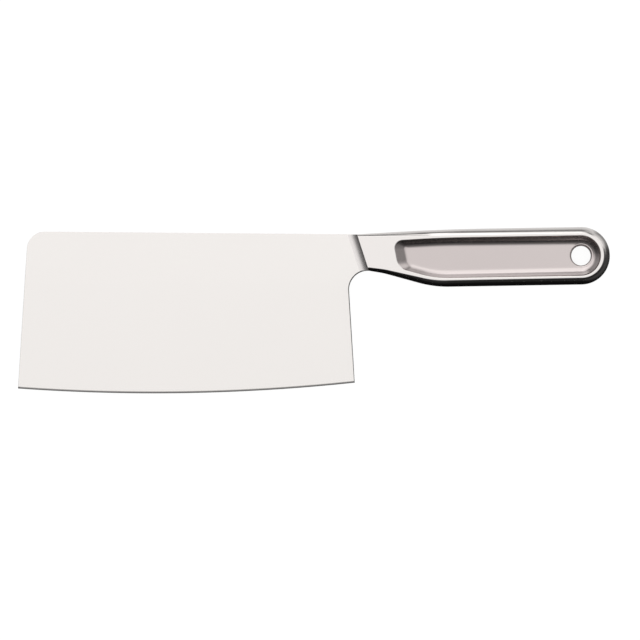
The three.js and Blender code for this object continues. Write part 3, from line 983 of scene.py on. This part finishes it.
class CLEAVER_OT_studio(bpy.types.Operator):
    """Set the pale floor, the light tent that the steel reflects, the soft box and the camera"""

    bl_idname = "cleaver.studio"
    bl_label = "Set studio"

    def execute(self, context):
        scene = context.scene
        studio = scene.cleaver_studio
        plan = Plan(scene)
        self.world(scene)
        self.floor(scene, studio)
        self.tent(scene, studio)
        self.table(scene, plan)
        self.softbox(scene, studio)
        self.camera(scene, studio, plan)
        scene.view_settings.view_transform = "Standard"
        return {"FINISHED"}

    @staticmethod
    def world(scene):
        world = bpy.data.worlds.new("studio")
        world.use_nodes = True
        background = world.node_tree.nodes["Background"]
        background.inputs["Color"].default_value = (1, 1, 1, 1)
        background.inputs["Strength"].default_value = 1
        scene.world = world

    @staticmethod
    def prop(scene, name, data, material, reflected_only=False):
        """An object of the stage, which only reflections see if so asked."""
        data.materials.append(material)
        prop = bpy.data.objects.new(name, data)
        scene.collection.objects.link(prop)
        if reflected_only:
            for ray in ("camera", "diffuse", "shadow", "transmission"):
                setattr(prop, f"visible_{ray}", False)

    @staticmethod
    def sheet(name, reach, height):
        """A level square that reaches so far from the middle of the knife to each side."""
        data = bpy.data.meshes.new(name)
        corners = ((-reach, -reach), (reach, -reach), (reach, reach), (-reach, reach))
        data.from_pydata([(x, y, height) for x, y in corners], [], [range(4)])
        return data

    def floor(self, scene, studio):
        """A pale floor, which the camera and reflections see as white with the knife's shadow."""
        material, start = blank_material("studio_floor")
        seen, glossy, through = (
            start.node("ShaderNodeLightPath", {}, {}, f"Is {ray} Ray")
            for ray in ("Camera", "Glossy", "Transmission")
        )
        lit = start.node("ShaderNodeBsdfDiffuse", {}, {"Color": (*studio.floor, 1)})
        shade = (FLOOR_SHADE, FLOOR_SHADE, FLOOR_SHADE, 1)
        faint = start.node("ShaderNodeBsdfDiffuse", {}, {"Color": shade})
        sockets = {"Color": (1, 1, 1, 1), "Strength": FLOOR_GLOW}
        glow = start.node("ShaderNodeEmission", {}, sockets)
        shown = start.node("ShaderNodeAddShader", {}, {0: faint, 1: glow})
        sockets = {0: seen + glossy + through, 1: lit, 2: shown}
        surface = start.node("ShaderNodeMixShader", {}, sockets)
        start.node("ShaderNodeOutputMaterial", {}, {"Surface": surface})
        data = self.sheet("studio_floor", FLOOR_REACH, -FLOOR_DROP)
        self.prop(scene, "studio_floor", data, material)

    @staticmethod
    def glow(start, level):
        """The end of a material that gives off light at a level."""
        light = start.node("ShaderNodeEmission", {}, {"Color": level})
        start.node("ShaderNodeOutputMaterial", {}, {"Surface": light})

    def tent(self, scene, studio):
        """A dome that only the steel reflects, brightest behind the spine and dim at the sides."""
        material, start = blank_material("light_tent")
        place = start.node("ShaderNodeTexCoord", {}, {}, "Object")

        def facing(lean, degrees):
            """1 in a direction that leans from overhead to the spine and is turned to the butt."""
            across, turn = math.sin(lean), math.radians(degrees)
            toward = Vector((across * math.sin(turn), across * math.cos(turn), math.cos(lean)))
            return start.dot(place, toward / studio.tent).above(0)

        key = facing(studio.key, KEY_TURN)
        level = TENT_LEVEL + key * KEY_SPREAD + key.step(*KEY_EDGE) * KEY_LEVEL
        for lean, turn, edge, share in TENT_LIGHTS:
            level = level + facing(math.radians(lean), turn).step(*edge) * share
        strip = facing(studio.strip, 0).step(*STRIP_EDGE) * facing(0, 0).step(*STRIP_FOOT)
        corner = facing(studio.strip, CORNER_TURN).step(*CORNER_EDGE)
        self.glow(start, level + strip.above(corner) * STRIP_LEVEL)
        shape = bmesh.new()
        bmesh.ops.create_icosphere(shape, subdivisions=TENT_SUBDIVISIONS, radius=studio.tent)
        data = bpy.data.meshes.new("light_tent")
        shape.to_mesh(data)
        shape.free()
        self.prop(scene, "light_tent", data, material, reflected_only=True)

    def table(self, scene, plan):
        """A card that only the steel reflects, painting dark reflections before the handle, pale
        behind.
        """
        material, start = blank_material("table_top")
        place = start.node("ShaderNodeTexCoord", {}, {}, "Object")
        middle = plan.place(plan.hang_hole.to_3d())
        behind = start.dot(place, Vector((0, 1, 0))) - middle.y
        beyond = (start.dot(place, Vector((1, 0, 0))) - middle.x).above(0)
        pale = (behind - beyond * PALE_SLANT).step(*PALE_EDGE)
        grey = (behind - beyond * GREY_SLANT).step(*PALE_EDGE)
        far = behind.step(*FAR_EDGE)
        corner = beyond.step(*FAR_CORNER_EDGE) * behind.step(*FAR_CORNER_EDGE)
        level = CARD_DARK_LEVEL + beyond.step(*BEYOND_EDGE) * BEYOND_LEVEL + corner * FAR_CORNER_LEVEL
        level = level + (pale * PALE_LEVEL + grey * GREY_LEVEL) * (1 - far * FAR_FALL)
        self.glow(start, level)
        data = self.sheet("table_top", CARD_REACH, -CARD_DROP)
        self.prop(scene, "table_top", data, material, reflected_only=True)

    @staticmethod
    def softbox(scene, studio):
        lamp = bpy.data.lights.new("soft_box", "AREA")
        lamp.shape = "SQUARE"
        lamp.size = studio.softbox
        lamp.energy = math.pi * studio.softbox**2  # as bright as white
        softbox = bpy.data.objects.new("soft_box", lamp)
        softbox.location = (0, SOFTBOX_BACK, studio.softbox_height)
        softbox.visible_glossy = False
        scene.collection.objects.link(softbox)

    @staticmethod
    def camera(scene, studio, plan):
        lens = bpy.data.cameras.new("camera")
        lens.lens = lens.sensor_width * studio.distance / studio.field
        lens.clip_end = CAMERA_RANGE
        camera = bpy.data.objects.new("camera", lens)
        target = plan.place(Vector((*studio.centre, 0)))
        back = Vector((0, -math.sin(studio.tilt), math.cos(studio.tilt)))
        camera.location = target + back * studio.distance
        camera.rotation_euler = (studio.tilt, 0, 0)
        scene.collection.objects.link(camera)
        scene.camera = camera


class CLEAVER_PT_panel(bpy.types.Panel):
    """Lists the steps that make the cleaver"""

    bl_idname = "CLEAVER_PT_panel"
    bl_label = "Cleaver"
    bl_space_type = "VIEW_3D"
    bl_region_type = "UI"
    bl_category = "Cleaver"

    def draw(self, context):
        for step in STEPS:
            self.layout.operator(step.bl_idname)
        for name in GROUPS:
            group = getattr(context.scene, name)
            box = self.layout.box()
            box.label(text=group.bl_rna.description)
            for value in group.__annotations__:
                box.prop(group, value)


GROUPS = {
    "cleaver_blade": CleaverBlade,
    "cleaver_handle": CleaverHandle,
    "cleaver_finish": CleaverFinish,
    "cleaver_studio": CleaverStudio,
}
STEPS = (
    CLEAVER_OT_blade,
    CLEAVER_OT_handle_halves,
    CLEAVER_OT_seam_bead,
    CLEAVER_OT_bolster_beads,
    CLEAVER_OT_hang_sleeve,
    CLEAVER_OT_studio,
)


def register():
    for kind in (*GROUPS.values(), *STEPS, CLEAVER_PT_panel):
        bpy.utils.register_class(kind)
    for name, kind in GROUPS.items():
        setattr(bpy.types.Scene, name, PointerProperty(type=kind))


def unregister():
    for name in GROUPS:
        delattr(bpy.types.Scene, name)
    for kind in (CLEAVER_PT_panel, *reversed(STEPS), *reversed(GROUPS.values())):
        bpy.utils.unregister_class(kind)


def main():
    register()
    for step in STEPS:
        group, name = step.bl_idname.split(".")
        getattr(getattr(bpy.ops, group), name)()


if __name__ == "__main__":
    main()
